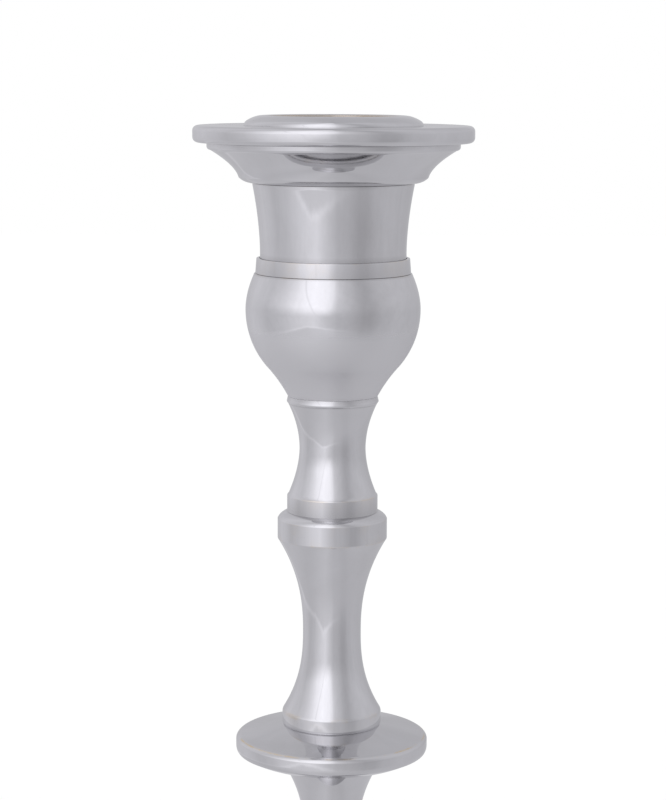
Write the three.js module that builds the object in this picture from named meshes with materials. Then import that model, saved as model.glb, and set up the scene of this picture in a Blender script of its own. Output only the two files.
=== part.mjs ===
// Candlestick of turned and spun sections, stacked on a tie rod, with a nozzle that lifts out.
// Millimetres, +Z up, origin at the centre of the face that it stands on.

import * as THREE from 'three';
import { mergeVertices } from 'three/addons/utils/BufferGeometryUtils.js';

// Candle cup: a drawn cup whose rolled bead rests on the nozzle's flange
const CANDLE_BORE = 23.7;
const CUP_WALL = 0.5;
const CUP_FLOOR = 0.8;
const CUP_DEPTH = 24;
const CUP_CLEARANCE = 0.15;
const BEAD_WIDTH = 3.65;
const BEAD_HEIGHT = 1.9;
const BEAD_ROUND = 0.6;

// Nozzle: a flange with a rounded rim, a fillet and a hollow underside
const NOZZLE_HEIGHT = 10.15;
const FLANGE_RADIUS = 25;
const FLANGE_THICKNESS = 3;
const FLANGE_ROUND = 0.95;
const FILLET_INSET = 2.5;
const FILLET_HEIGHT = 0.7;
const FILLET_ROUND = 0.6;
const NOZZLE_FOOT_FLARE = 2.5;
const NOZZLE_FOOT_HEIGHT = 1.6;
const CAVETTO_PULL = [0.37, 0.55];

// Socket: a neck tube, a band and a spun bulb
const NECK_WALL = 0.56;
const NECK_HEIGHT = 13.3;
const NECK_FLARE = 1.34;
const NECK_FLARE_POWER = 1.76;
const NECK_STRAIGHT = 1;
const NECK_TENON = 3;
const SOLDER_GAP = 0.1;
const BAND_HEIGHT = 2.25;
const BAND_PROUD = 0.84;
const BAND_TAPER = 0.2;
const BULB_HEIGHT = 22.45;
const BULB_PROUD = 2.59;
const BULB_SHOULDER = 6.95;
const BULB_SHOULDER_DROP = 1.58;
const BULB_CURVE = 15.6;
const BULB_CURVE_END = 40.3;
const BULB_FOOT_RADIUS = 8.1;
const BULB_FOOT_PULL = [0.44, 0.57];
const BULB_WALL = 0.9;
const BULB_FLOOR = 3.2;

// Upper spool: a bead, a waist and a small collar
const UPPER_SPOOL_HEIGHT = 20.35;
const UPPER_BEAD_RADIUS = 8.25;
const UPPER_BEAD_HEIGHT = 1.3;
const UPPER_WAIST_RADIUS = 5.95;
const UPPER_WAIST_DROP = 9.6;
const UPPER_FLARE_ABOVE = 1.95;
const UPPER_FLARE_BELOW = 1.8;
const SMALL_COLLAR_RADIUS = 8.17;
const SMALL_COLLAR_HEIGHT = 2.25;

// Middle spool: a wide collar, a long waist and a base band with a rounded lower edge
const MIDDLE_SPOOL_HEIGHT = 39.95;
const WIDE_COLLAR_RADIUS = 9.89;
const WIDE_COLLAR_HEIGHT = 5.6;
const WIDE_COLLAR_SHOULDER = 1.9;
const WIDE_COLLAR_TAPER = 1.7;
const MIDDLE_WAIST_RADIUS = 5.26;
const MIDDLE_WAIST_DROP = 22.85;
const MIDDLE_FLARE_ABOVE = 2.3;
const MIDDLE_FLARE_BELOW = 2.48;
const BASE_BAND_RADIUS = 9.45;
const BASE_BAND_HEIGHT = 3.15;
const BASE_BAND_INSET = 1;
const BASE_BAND_ROUND = 0.6;

// Drip pan: a low cone with a rounded rim, which sheds the wax outwards
const PAN_HEIGHT = 7.4;
const PAN_RADIUS = 17.54;
const PAN_TOP_PULL = [0.5, 0.58];
const PAN_ROUND = 1.48;
const PAN_ROUND_END = 77;
const PAN_RIM_HEIGHT = 1.86;
const PAN_RIM_TAPER = 0.2;
const PAN_EDGE_ROUND = 0.4;
const PAN_UNDERSIDE = 2.11;

// Lower spool
const LOWER_SPOOL_HEIGHT = 26.25;
const LOWER_TOP_RADIUS = 8.37;
const LOWER_TOP_FILLET = 1.35;
const LOWER_WAIST_RADIUS = 4.97;
const LOWER_WAIST_DROP = 13.75;
const LOWER_FLARE_POWER = 2;
const LOWER_COLLAR_RADIUS = 7.7;
const LOWER_COLLAR_HEIGHT = 2.2;

// Knop: a turned knob with a band above and a sweep below
const KNOP_HEIGHT = 22;
const KNOP_RADIUS = 13.6;
const KNOP_BAND_RADIUS = 9.4;
const KNOP_BAND_HEIGHT = 1.8;
const KNOP_BELLY_DROP = 8.8;
const KNOP_CURVE = 11;
const KNOP_CURVE_END = 46;
const KNOP_FOOT_RADIUS = 7.4;
const KNOP_FOOT_PULL = [0.3, 0.62];

// Foot: a hollow casting with a rounded rim, a step, a hollow curve, a bead and a trumpet
const FOOT_HEIGHT = 63.5;
const FOOT_RADIUS = 46;
const FOOT_RIM_HEIGHT = 4.4;
const FOOT_RIM_ROUND = 1.6;
const FOOT_STEP = 4.2;
const FOOT_STEP_HEIGHT = 1.2;
const FOOT_CURVE_HEIGHT = 12.6;
const FOOT_BEAD_RADIUS = 21;
const FOOT_BEAD_HEIGHT = 4;
const TRUMPET_BASE_RADIUS = 18.4;
const TRUMPET_NECK_RADIUS = 7.2;
const TRUMPET_POWER = 2.4;
const FOOT_COLLAR_RADIUS = 9.6;
const FOOT_COLLAR_HEIGHT = 4.4;
const FOOT_COLLAR_SHOULDER = 1.4;
const FOOT_WALL = 2;
const FOOT_CROWN = 6;

// Felt let into the underside of the foot
const FELT_THICKNESS = 1.5;
const FELT_PROUD = 0.5;
const FELT_MARGIN = 3;
const FELT_CLEARANCE = 0.2;

// Tie rod with a washer and a nut at each end
const ROD_RADIUS = 1.5;
const ROD_CLEARANCE = 0.2;
const ROD_END = 1.6;
const ROD_CHAMFER = 0.3;
const THREAD_CLEARANCE = 0.1;
const WASHER_RADIUS = 4.2;
const WASHER_THICKNESS = 0.8;
const NUT_ACROSS_FLATS = 5.5;
const NUT_HEIGHT = 2.4;

// Fineness of the turned faces and the curves
const SIDES = 28;
const NUT_HOLE_SIDES = 16;
const LONG_CURVE_STEPS = 7;
const CURVE_STEPS = 5;
const ROUND_STEPS = 3;

// Levels of the seats, from the surface that the foot stands on upwards
const footBase = FELT_PROUD;
const footTop = footBase + FOOT_HEIGHT;
const knopTop = footTop + KNOP_HEIGHT;
const lowerSpoolTop = knopTop + LOWER_SPOOL_HEIGHT;
const panTop = lowerSpoolTop + PAN_HEIGHT;
const middleSpoolTop = panTop + MIDDLE_SPOOL_HEIGHT;
const upperSpoolTop = middleSpoolTop + UPPER_SPOOL_HEIGHT;
const bulbTop = upperSpoolTop + BULB_HEIGHT;
const bandTop = bulbTop + BAND_HEIGHT;
const neckTop = bandTop + NECK_HEIGHT;
const flangeTop = neckTop + NOZZLE_HEIGHT;
const bulbFloorTop = upperSpoolTop + BULB_FLOOR;
const footCeiling = footTop - FOOT_CROWN;

// Radii that follow from the candle, the rod and their clearances
const boreRadius = CANDLE_BORE / 2;
const cupRadius = boreRadius + CUP_WALL;
const guideRadius = cupRadius + CUP_CLEARANCE;
const neckRadius = guideRadius + NECK_WALL;
const mouthRadius = neckRadius + NECK_FLARE;
const bandBore = neckRadius + SOLDER_GAP;
const rodHole = ROD_RADIUS + ROD_CLEARANCE;
const seatRadius = BASE_BAND_RADIUS - BASE_BAND_ROUND;
const feltRadius = FOOT_RADIUS - FELT_MARGIN;

// Points [radius, height] on a circular arc between two angles in degrees.
function arc(centreR, centreZ, radius, fromAngle, toAngle, steps) {
  const points = [];
  for (let i = 0; i <= steps; i += 1) {
    const angle = THREE.MathUtils.degToRad(fromAngle + ((toAngle - fromAngle) * i) / steps);
    points.push([centreR + radius * Math.cos(angle), centreZ + radius * Math.sin(angle)]);
  }
  return points;
}

// The point at a given share of the way between two places, across and up.
function between(start, end, share) {
  return [
    THREE.MathUtils.lerp(start[0], end[0], share[0]),
    THREE.MathUtils.lerp(start[1], end[1], share[1]),
  ];
}

// Points on a smooth sweep between two places, pulled towards a third.
function sweep(start, pull, end, steps) {
  const curve = new THREE.QuadraticBezierCurve(
    new THREE.Vector2(...start),
    new THREE.Vector2(...pull),
    new THREE.Vector2(...end),
  );
  return curve.getPoints(steps).map((point) => [point.x, point.y]);
}

// Points from a waist out to a flared end: the radius grows with a power of the distance.
function flare(waist, end, power, steps) {
  const points = [];
  for (let i = 0; i <= steps; i += 1) {
    const share = i / steps;
    const radius = waist[0] + (end[0] - waist[0]) * share ** power;
    points.push([radius, waist[1] + (end[1] - waist[1]) * share]);
  }
  return points;
}

// The same outline, moved inwards by a wall's thickness. The outline runs upwards.
function inset(outline, wall) {
  return outline.map(([r, z], i) => {
    const before = outline[Math.max(i - 1, 0)];
    const after = outline[Math.min(i + 1, outline.length - 1)];
    const along = new THREE.Vector2(after[0] - before[0], after[1] - before[1]).normalize();
    return [r - along.y * wall, z + along.x * wall];
  });
}

// Radius of an outline that runs upwards, at a given height.
function radiusAt(outline, height) {
  const above = Math.max(outline.findIndex((point) => point[1] >= height), 1);
  const [lowR, lowZ] = outline[above - 1];
  const [highR, highZ] = outline[above];
  return lowR + ((highR - lowR) * (height - lowZ)) / (highZ - lowZ);
}

// A closed body with shared corners, without the empty triangles that a lathe leaves on its axis.
function closed(geometry) {
  geometry.deleteAttribute('normal');
  geometry.deleteAttribute('uv');
  const merged = mergeVertices(geometry);
  const corners = merged.index.array;
  const kept = [];
  for (let i = 0; i < corners.length; i += 3) {
    const [a, b, c] = corners.slice(i, i + 3);
    if (a !== b && b !== c && c !== a) kept.push(a, b, c);
  }
  merged.setIndex(kept);
  merged.computeVertexNormals();
  return merged;
}

// A body turned about the Z axis. Its outline runs up the outside and down the inside.
function turned(outline) {
  const points = outline.map(([r, z]) => new THREE.Vector2(r, z));
  if (outline[0][0] > 0) points.push(points[0].clone());
  const geometry = new THREE.LatheGeometry(points, SIDES);
  geometry.rotateX(Math.PI / 2);
  return closed(geometry);
}

// A section with a plain hole for the tie rod between its two end faces.
function bored(outside, bottom, top) {
  return turned([[rodHole, bottom], ...outside, [rodHole, top]]);
}

function candleCup() {
  const base = flangeTop - CUP_DEPTH;
  const top = flangeTop + BEAD_HEIGHT;
  const beadRadius = cupRadius + BEAD_WIDTH;
  return turned([
    [0, base],
    [cupRadius, base],
    [cupRadius, flangeTop],
    ...arc(beadRadius - BEAD_ROUND, flangeTop + BEAD_ROUND, BEAD_ROUND, -90, 60, ROUND_STEPS),
    [cupRadius + BEAD_ROUND, top],
    [boreRadius + CUP_WALL / 2, top],
    [boreRadius, top - CUP_WALL],
    [boreRadius, base + CUP_FLOOR],
    [0, base + CUP_FLOOR],
  ]);
}

function nozzle() {
  const filletRadius = FLANGE_RADIUS - FILLET_INSET;
  const flangeBase = flangeTop - FLANGE_THICKNESS;
  const curveTop = flangeBase - FILLET_HEIGHT - FILLET_ROUND;
  const curveStart = [mouthRadius + NOZZLE_FOOT_FLARE, neckTop + NOZZLE_FOOT_HEIGHT];
  const curveEnd = [filletRadius - FILLET_ROUND, curveTop];
  const curvePull = between(curveStart, curveEnd, CAVETTO_PULL);
  const footPull = [curveStart[0] - NOZZLE_FOOT_HEIGHT, neckTop];
  const roundCentre = FLANGE_RADIUS - FLANGE_ROUND;
  return turned([
    [guideRadius, neckTop],
    ...sweep([mouthRadius, neckTop], footPull, curveStart, ROUND_STEPS),
    ...sweep(curveStart, curvePull, curveEnd, CURVE_STEPS).slice(1),
    [filletRadius, curveTop + FILLET_ROUND],
    [filletRadius, flangeBase],
    ...arc(roundCentre, flangeBase + FLANGE_ROUND, FLANGE_ROUND, -90, 0, ROUND_STEPS),
    ...arc(roundCentre, flangeTop - FLANGE_ROUND, FLANGE_ROUND, 0, 90, ROUND_STEPS),
    [guideRadius, flangeTop],
  ]);
}

function socketNeck() {
  const base = bulbTop - NECK_TENON;
  const straightTop = bandTop + NECK_STRAIGHT;
  return turned([
    [guideRadius, base],
    [neckRadius, base],
    ...flare([neckRadius, straightTop], [mouthRadius, neckTop], NECK_FLARE_POWER, CURVE_STEPS),
    [guideRadius, neckTop],
  ]);
}

function socketBand() {
  const radius = neckRadius + BAND_PROUD;
  return turned([
    [bandBore, bulbTop],
    [radius, bulbTop],
    [radius - BAND_TAPER, bandTop],
    [bandBore, bandTop],
  ]);
}

function socketBulb() {
  const bellyRadius = neckRadius + BULB_PROUD;
  const bellyHeight = bulbTop - BULB_SHOULDER;
  const curve = arc(bellyRadius - BULB_CURVE, bellyHeight, BULB_CURVE, -BULB_CURVE_END, 0, CURVE_STEPS);
  const foot = [BULB_FOOT_RADIUS, upperSpoolTop];
  const footPull = between(foot, curve[0], BULB_FOOT_PULL);
  const rim = [bellyRadius - BULB_SHOULDER_DROP, bulbTop];
  const shoulderPull = [bellyRadius, bulbTop - BULB_SHOULDER / 2];
  const outside = [
    ...sweep(foot, footPull, curve[0], ROUND_STEPS),
    ...curve.slice(1),
    ...sweep([bellyRadius, bellyHeight], shoulderPull, rim, ROUND_STEPS).slice(1),
  ];
  const inside = inset(outside, BULB_WALL);
  const tenonEnd = bulbTop - NECK_TENON;
  const hollow = inside.filter((point) => point[1] > bulbFloorTop && point[1] < tenonEnd).reverse();
  return turned([
    [rodHole, upperSpoolTop],
    ...outside,
    [bandBore, bulbTop],
    [bandBore, tenonEnd],
    ...hollow,
    [radiusAt(inside, bulbFloorTop), bulbFloorTop],
    [rodHole, bulbFloorTop],
  ]);
}

function upperSpool() {
  const beadRound = UPPER_BEAD_HEIGHT / 2;
  const beadCentre = [UPPER_BEAD_RADIUS - beadRound, upperSpoolTop - beadRound];
  const beadFoot = [UPPER_BEAD_RADIUS - beadRound / 3, upperSpoolTop - UPPER_BEAD_HEIGHT];
  const waist = [UPPER_WAIST_RADIUS, upperSpoolTop - UPPER_WAIST_DROP];
  const collarTop = middleSpoolTop + SMALL_COLLAR_HEIGHT;
  const outside = [
    [SMALL_COLLAR_RADIUS, middleSpoolTop],
    ...flare(waist, [SMALL_COLLAR_RADIUS, collarTop], UPPER_FLARE_BELOW, CURVE_STEPS).reverse(),
    ...flare(waist, beadFoot, UPPER_FLARE_ABOVE, CURVE_STEPS).slice(1),
    ...arc(...beadCentre, beadRound, -45, 90, ROUND_STEPS),
  ];
  return bored(outside, middleSpoolTop, upperSpoolTop);
}

function middleSpool() {
  const waist = [MIDDLE_WAIST_RADIUS, middleSpoolTop - MIDDLE_WAIST_DROP];
  const bandEdge = [BASE_BAND_RADIUS - BASE_BAND_INSET, panTop + BASE_BAND_HEIGHT];
  const bandSlope = (MIDDLE_FLARE_BELOW * (bandEdge[0] - waist[0])) / (waist[1] - bandEdge[1]);
  const bandPull = [BASE_BAND_RADIUS, bandEdge[1] - BASE_BAND_INSET / bandSlope];
  const collarEdge = [WIDE_COLLAR_RADIUS, middleSpoolTop - WIDE_COLLAR_HEIGHT];
  const outside = [
    ...arc(seatRadius, panTop + BASE_BAND_ROUND, BASE_BAND_ROUND, -90, 0, ROUND_STEPS),
    ...sweep([BASE_BAND_RADIUS, panTop + BASE_BAND_ROUND], bandPull, bandEdge, ROUND_STEPS).slice(1),
    ...flare(waist, bandEdge, MIDDLE_FLARE_BELOW, LONG_CURVE_STEPS).reverse().slice(1),
    ...flare(waist, collarEdge, MIDDLE_FLARE_ABOVE, LONG_CURVE_STEPS).slice(1),
    [WIDE_COLLAR_RADIUS, middleSpoolTop - WIDE_COLLAR_SHOULDER],
    [WIDE_COLLAR_RADIUS - WIDE_COLLAR_TAPER, middleSpoolTop],
  ];
  return bored(outside, panTop, middleSpoolTop);
}

function dripPan() {
  const rimBase = lowerSpoolTop + PAN_UNDERSIDE;
  const edgeCentre = PAN_RADIUS - PAN_RIM_TAPER - PAN_EDGE_ROUND;
  const roundCentre = [PAN_RADIUS - PAN_ROUND, rimBase + PAN_RIM_HEIGHT];
  const rim = arc(...roundCentre, PAN_ROUND, 0, PAN_ROUND_END, CURVE_STEPS);
  const seat = [seatRadius, panTop];
  const underPull = [THREE.MathUtils.lerp(LOWER_TOP_RADIUS, edgeCentre, 0.5), lowerSpoolTop];
  const outside = [
    ...sweep([LOWER_TOP_RADIUS, lowerSpoolTop], underPull, [edgeCentre, rimBase], CURVE_STEPS),
    ...arc(edgeCentre, rimBase + PAN_EDGE_ROUND, PAN_EDGE_ROUND, -60, 0, ROUND_STEPS),
    ...rim,
    ...sweep(rim.at(-1), between(seat, rim.at(-1), PAN_TOP_PULL), seat, CURVE_STEPS).slice(1),
  ];
  return bored(outside, lowerSpoolTop, panTop);
}

function lowerSpool() {
  const waist = [LOWER_WAIST_RADIUS, lowerSpoolTop - LOWER_WAIST_DROP];
  const collarEdge = [LOWER_COLLAR_RADIUS, knopTop + LOWER_COLLAR_HEIGHT];
  const filletEdge = [LOWER_TOP_RADIUS, lowerSpoolTop - LOWER_TOP_FILLET];
  const outside = [
    [LOWER_COLLAR_RADIUS, knopTop],
    ...flare(waist, collarEdge, LOWER_FLARE_POWER, CURVE_STEPS).reverse(),
    ...flare(waist, filletEdge, LOWER_FLARE_POWER, CURVE_STEPS).slice(1),
    [LOWER_TOP_RADIUS, lowerSpoolTop],
  ];
  return bored(outside, knopTop, lowerSpoolTop);
}

function knop() {
  const belly = [KNOP_RADIUS, knopTop - KNOP_BELLY_DROP];
  const bandBase = knopTop - KNOP_BAND_HEIGHT;
  const curve = arc(KNOP_RADIUS - KNOP_CURVE, belly[1], KNOP_CURVE, -KNOP_CURVE_END, 0, CURVE_STEPS);
  const base = [KNOP_FOOT_RADIUS, footTop];
  const outside = [
    ...sweep(base, between(base, curve[0], KNOP_FOOT_PULL), curve[0], ROUND_STEPS),
    ...curve.slice(1),
    ...sweep(belly, [KNOP_RADIUS, bandBase], [KNOP_BAND_RADIUS, bandBase], CURVE_STEPS).slice(1),
    [KNOP_BAND_RADIUS, knopTop],
  ];
  return bored(outside, footTop, knopTop);
}

function foot() {
  const rimTop = footBase + FOOT_RIM_HEIGHT;
  const stepRadius = FOOT_RADIUS - FOOT_STEP;
  const curveBase = rimTop + FOOT_STEP_HEIGHT;
  const curveTop = curveBase + FOOT_CURVE_HEIGHT;
  const beadTop = curveTop + FOOT_BEAD_HEIGHT;
  const collarBase = footTop - FOOT_COLLAR_HEIGHT;
  const roundCentre = FOOT_RADIUS - FOOT_RIM_ROUND;
  const curveEnd = [FOOT_BEAD_RADIUS, curveTop];
  const curve = sweep([stepRadius, curveBase], [FOOT_BEAD_RADIUS, curveBase], curveEnd, CURVE_STEPS);
  const trumpetNeck = [TRUMPET_NECK_RADIUS, collarBase];
  const trumpet = flare(trumpetNeck, [TRUMPET_BASE_RADIUS, beadTop], TRUMPET_POWER, CURVE_STEPS).reverse();
  const beadRound = FOOT_BEAD_HEIGHT / 2;
  const bead = arc(FOOT_BEAD_RADIUS - beadRound / 2, curveTop + beadRound, beadRound, -70, 90, CURVE_STEPS);
  const hollowRadius = stepRadius - FOOT_WALL;
  const inside = inset([...curve, ...trumpet], FOOT_WALL);
  const hollow = inside.filter(([r, z]) => r < hollowRadius && z < footCeiling);
  return turned([
    [feltRadius + FELT_CLEARANCE, footBase],
    [FOOT_RADIUS - FOOT_RIM_ROUND / 2, footBase],
    [FOOT_RADIUS, footBase + FOOT_RIM_ROUND / 2],
    ...arc(roundCentre, rimTop - FOOT_RIM_ROUND, FOOT_RIM_ROUND, 0, 90, ROUND_STEPS),
    [stepRadius, rimTop],
    ...curve,
    ...bead,
    ...trumpet,
    [FOOT_COLLAR_RADIUS, collarBase],
    [FOOT_COLLAR_RADIUS, footTop - FOOT_COLLAR_SHOULDER],
    [FOOT_COLLAR_RADIUS - FOOT_COLLAR_SHOULDER, footTop],
    [rodHole, footTop],
    [rodHole, footCeiling],
    [radiusAt(inside, footCeiling), footCeiling],
    ...hollow.reverse(),
    [hollowRadius, hollow.at(-1)[1]],
    [hollowRadius, FELT_THICKNESS],
    [feltRadius + FELT_CLEARANCE, FELT_THICKNESS],
  ]);
}

function feltPad() {
  return turned([[0, 0], [feltRadius, 0], [feltRadius, FELT_THICKNESS], [0, FELT_THICKNESS]]);
}

function tieRod() {
  const clamped = WASHER_THICKNESS + NUT_HEIGHT + ROD_END;
  const bottom = footCeiling - clamped;
  const top = bulbFloorTop + clamped;
  const tip = ROD_RADIUS - ROD_CHAMFER;
  return turned([
    [0, bottom],
    [tip, bottom],
    [ROD_RADIUS, bottom + ROD_CHAMFER],
    [ROD_RADIUS, top - ROD_CHAMFER],
    [tip, top],
    [0, top],
  ]);
}

function washer(base) {
  const top = base + WASHER_THICKNESS;
  return bored([[WASHER_RADIUS, base], [WASHER_RADIUS, top]], base, top);
}

function nut(base) {
  const corner = NUT_ACROSS_FLATS / Math.sqrt(3);
  const outline = new THREE.Shape();
  for (let i = 0; i < 6; i += 1) {
    const angle = (i * Math.PI) / 3;
    outline[i ? 'lineTo' : 'moveTo'](corner * Math.cos(angle), corner * Math.sin(angle));
  }
  outline.closePath();
  outline.holes.push(new THREE.Path().absarc(0, 0, ROD_RADIUS + THREAD_CLEARANCE, 0, 2 * Math.PI, true));
  const options = { depth: NUT_HEIGHT, bevelEnabled: false, curveSegments: NUT_HOLE_SIDES };
  return closed(new THREE.ExtrudeGeometry(outline, options).translate(0, 0, base));
}

// Finishes
const plated = () => new THREE.MeshStandardMaterial({ color: 0xc9c8cd, metalness: 1, roughness: 0.14 });
const steel = () => new THREE.MeshStandardMaterial({ color: 0x9a9a9c, metalness: 1, roughness: 0.35 });
const brass = () => new THREE.MeshStandardMaterial({ color: 0xc6a664, metalness: 1, roughness: 0.25 });
const felt = () => new THREE.MeshStandardMaterial({ color: 0x22352b, metalness: 0, roughness: 0.95 });

function piece(parent, name, geometry, material) {
  const mesh = new THREE.Mesh(geometry, material);
  mesh.name = name;
  parent.add(mesh);
}

// The standing part, from the felt up to the mouth of the socket
const stand = new THREE.Group();
piece(stand, 'felt_pad', feltPad(), felt());
piece(stand, 'foot', foot(), plated());
piece(stand, 'knop', knop(), plated());
piece(stand, 'lower_spool', lowerSpool(), plated());
piece(stand, 'drip_pan', dripPan(), plated());
piece(stand, 'middle_spool', middleSpool(), plated());
piece(stand, 'upper_spool', upperSpool(), plated());
piece(stand, 'socket_bulb', socketBulb(), plated());
piece(stand, 'socket_band', socketBand(), plated());
piece(stand, 'socket_neck', socketNeck(), plated());
piece(stand, 'tie_rod', tieRod(), steel());
piece(stand, 'socket_washer', washer(bulbFloorTop), steel());
piece(stand, 'socket_nut', nut(bulbFloorTop + WASHER_THICKNESS), brass());
piece(stand, 'foot_washer', washer(footCeiling - WASHER_THICKNESS), steel());
piece(stand, 'foot_nut', nut(footCeiling - WASHER_THICKNESS - NUT_HEIGHT), brass());

// The nozzle and its cup, which lift out of the socket together
const liftOut = new THREE.Group();
piece(liftOut, 'nozzle', nozzle(), plated());
piece(liftOut, 'candle_cup', candleCup(), plated());

const candlestick = new THREE.Group();
candlestick.add(stand, liftOut);

export default candlestick;
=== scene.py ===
# Candlestick in polished nickel: sections turned to shape and stacked on a tie rod
import bpy
import math
import numpy as np
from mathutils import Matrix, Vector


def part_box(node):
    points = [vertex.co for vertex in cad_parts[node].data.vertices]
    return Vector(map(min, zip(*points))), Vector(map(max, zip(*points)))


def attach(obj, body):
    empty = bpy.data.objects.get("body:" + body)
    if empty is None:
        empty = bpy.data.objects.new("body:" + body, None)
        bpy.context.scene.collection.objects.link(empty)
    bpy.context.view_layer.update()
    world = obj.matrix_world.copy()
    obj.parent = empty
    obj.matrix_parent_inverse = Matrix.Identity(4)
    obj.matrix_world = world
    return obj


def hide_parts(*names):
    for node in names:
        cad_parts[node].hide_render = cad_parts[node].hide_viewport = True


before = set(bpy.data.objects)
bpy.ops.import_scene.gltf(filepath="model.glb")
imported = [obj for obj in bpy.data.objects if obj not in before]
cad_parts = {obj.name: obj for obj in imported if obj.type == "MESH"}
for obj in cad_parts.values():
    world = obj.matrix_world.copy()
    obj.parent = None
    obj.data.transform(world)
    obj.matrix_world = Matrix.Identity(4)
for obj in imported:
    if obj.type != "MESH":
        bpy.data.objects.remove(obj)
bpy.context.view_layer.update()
bpy.ops.object.select_all(action="DESELECT")
print("frame loaded,", len(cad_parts), "nodes")

mm = 0.001          # outlines are drawn in millimetres, the scene is in metres
turnSteps = 144     # faces round a turned piece
mergeWithin = 1e-6
smoothBelow = math.radians(32)
# Steps from a corner to the point that holds its flat face
hold = {"tight": 0.2, "close": 0.3, "near": 0.4, "wide": 0.5}


# Heights and radii of the solids, in millimetres
def lowOf(node):
    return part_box(node)[0].z / mm


def highOf(node):
    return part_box(node)[1].z / mm


def reachOf(node):
    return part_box(node)[1].x / mm


# Lines of an outline, as (radius, height) points
def arcLine(centreR, centreZ, radius, startDeg, endDeg, steps=10, flat=1.0):
    turns = [math.radians(startDeg + (endDeg - startDeg) * i / steps) for i in range(steps + 1)]
    return [(centreR + radius * math.cos(a), centreZ + radius * flat * math.sin(a)) for a in turns]


def partWay(start, end, share):
    return (start[0] + (end[0] - start[0]) * share[0], start[1] + (end[1] - start[1]) * share[1])


def sweepLine(start, pull, end, steps=16):
    line = []
    for i in range(steps + 1):
        t = i / steps
        weights = ((1 - t) ** 2, 2 * t * (1 - t), t * t)
        line.append(tuple(sum(w * p[k] for w, p in zip(weights, (start, pull, end))) for k in (0, 1)))
    return line


def flareLine(waist, end, power, steps=30):
    run, rise = end[0] - waist[0], end[1] - waist[1]
    shares = [i / steps for i in range(steps + 1)]
    return [(waist[0] + run * s ** power, waist[1] + rise * s) for s in shares]


def insetLine(line, wall):
    inner = []
    for i, (r, z) in enumerate(line):
        before, after = line[max(i - 1, 0)], line[min(i + 1, len(line) - 1)]
        run, rise = after[0] - before[0], after[1] - before[1]
        length = math.hypot(run, rise)
        inner.append((r - rise / length * wall, z + run / length * wall))
    return inner


def radiusAt(line, height):
    for (r0, z0), (r1, z1) in zip(line, line[1:]):
        if z0 <= height <= z1:
            return r0 + (r1 - r0) * (height - z0) / max(z1 - z0, 1e-9)
    return line[-1][0]


# A corner given as (radius, height, ease) is rounded off, with a holding point on each side of it
easing = {
    "share": 0.38,          # the rounding takes no more than this of the line beside it
    "holdShare": 0.46,
    "hold": 1.25,           # the holding point's distance, in widths of the rounding
    "holdWear": 0.3,
    "steps": 5,
}


def easeCorners(outline):
    path = []
    for i, corner in enumerate(outline):
        if len(corner) == 2:
            path.append((*corner, 0.0))
            continue
        r, z, ease = corner
        legs = []
        for other in (outline[i - 1], outline[(i + 1) % len(outline)]):
            run, rise = other[0] - r, other[1] - z
            length = math.hypot(run, rise)
            reach = min(ease, easing["share"] * length)
            holdAt = min(reach * easing["hold"], easing["holdShare"] * length)
            legs.append([(r + run / length * d, z + rise / length * d) for d in (reach, holdAt)])
        (start, startHold), (end, endHold) = legs
        path.append((*startHold, easing["holdWear"]))
        path += [(*point, 1.0) for point in sweepLine(start, (r, z), end, easing["steps"])]
        path.append((*endHold, easing["holdWear"]))
    return path


# Worn plate along the eased edges and painted shade in the seams, kept on the mesh for the finishes to
# read.
# Each seam or worn ring is given as (radius, height, reach).
def markWear(piece, path, seams, worn):
    spots = np.empty(len(piece.data.vertices) * 3)
    piece.data.vertices.foreach_get("co", spots)
    spots = spots.reshape(-1, 3) / mm
    radius, height = np.hypot(spots[:, 0], spots[:, 1]), spots[:, 2]
    line = np.array(path)
    apart = (radius[:, None] - line[:, 0]) ** 2 + (height[:, None] - line[:, 1]) ** 2
    nearest = np.argmin(apart, axis=1)
    wear, seamShade = line[nearest, 2], np.zeros(len(radius))
    for amount, rings in ((wear, worn), (seamShade, seams)):
        for ringR, ringZ, reach in rings:
            away = np.hypot(radius - ringR, height - ringZ) / reach
            np.maximum(amount, np.exp(-away ** 2), out=amount)
    for label, amount in (("edgeWear", wear), ("paintedSeamShade", seamShade)):
        layer = piece.data.attributes.new(label, "FLOAT", "POINT")
        layer.data.foreach_set("value", amount.astype(np.float32))


# A turned piece: one vertex is drawn out along the outline, and the line is spun about the upright axis
def turnPiece(name, outline, seams=(), worn=(), closed=True, steps=turnSteps):
    path = easeCorners(outline)
    bpy.ops.object.select_all(action="DESELECT")
    bpy.ops.mesh.primitive_plane_add(size=2 * mm, location=(0, 0, 0))
    piece = bpy.context.object
    piece.name = piece.data.name = name
    bpy.ops.object.mode_set(mode="EDIT")
    bpy.ops.mesh.select_mode(type="VERT")
    bpy.ops.mesh.select_all(action="SELECT")
    bpy.ops.mesh.merge(type="CENTER")
    bpy.ops.transform.translate(value=(path[0][0] * mm, 0, path[0][1] * mm))
    stops = path[1:] + ([path[0]] if closed and path[0][0] > 0 else [])
    here = path[0]
    for there in stops:
        move = ((there[0] - here[0]) * mm, 0, (there[1] - here[1]) * mm)
        bpy.ops.mesh.extrude_vertices_move(TRANSFORM_OT_translate={"value": move})
        here = there
    bpy.ops.mesh.select_all(action="SELECT")
    bpy.ops.mesh.spin(steps=steps, angle=2 * math.pi, center=(0, 0, 0), axis=(0, 0, 1))
    bpy.ops.mesh.select_all(action="SELECT")
    bpy.ops.mesh.remove_doubles(threshold=mergeWithin)
    bpy.ops.mesh.normals_make_consistent(inside=False)
    bpy.ops.object.mode_set(mode="OBJECT")
    bpy.ops.object.shade_smooth_by_angle(angle=smoothBelow)
    markWear(piece, path, seams, worn)
    return piece


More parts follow.
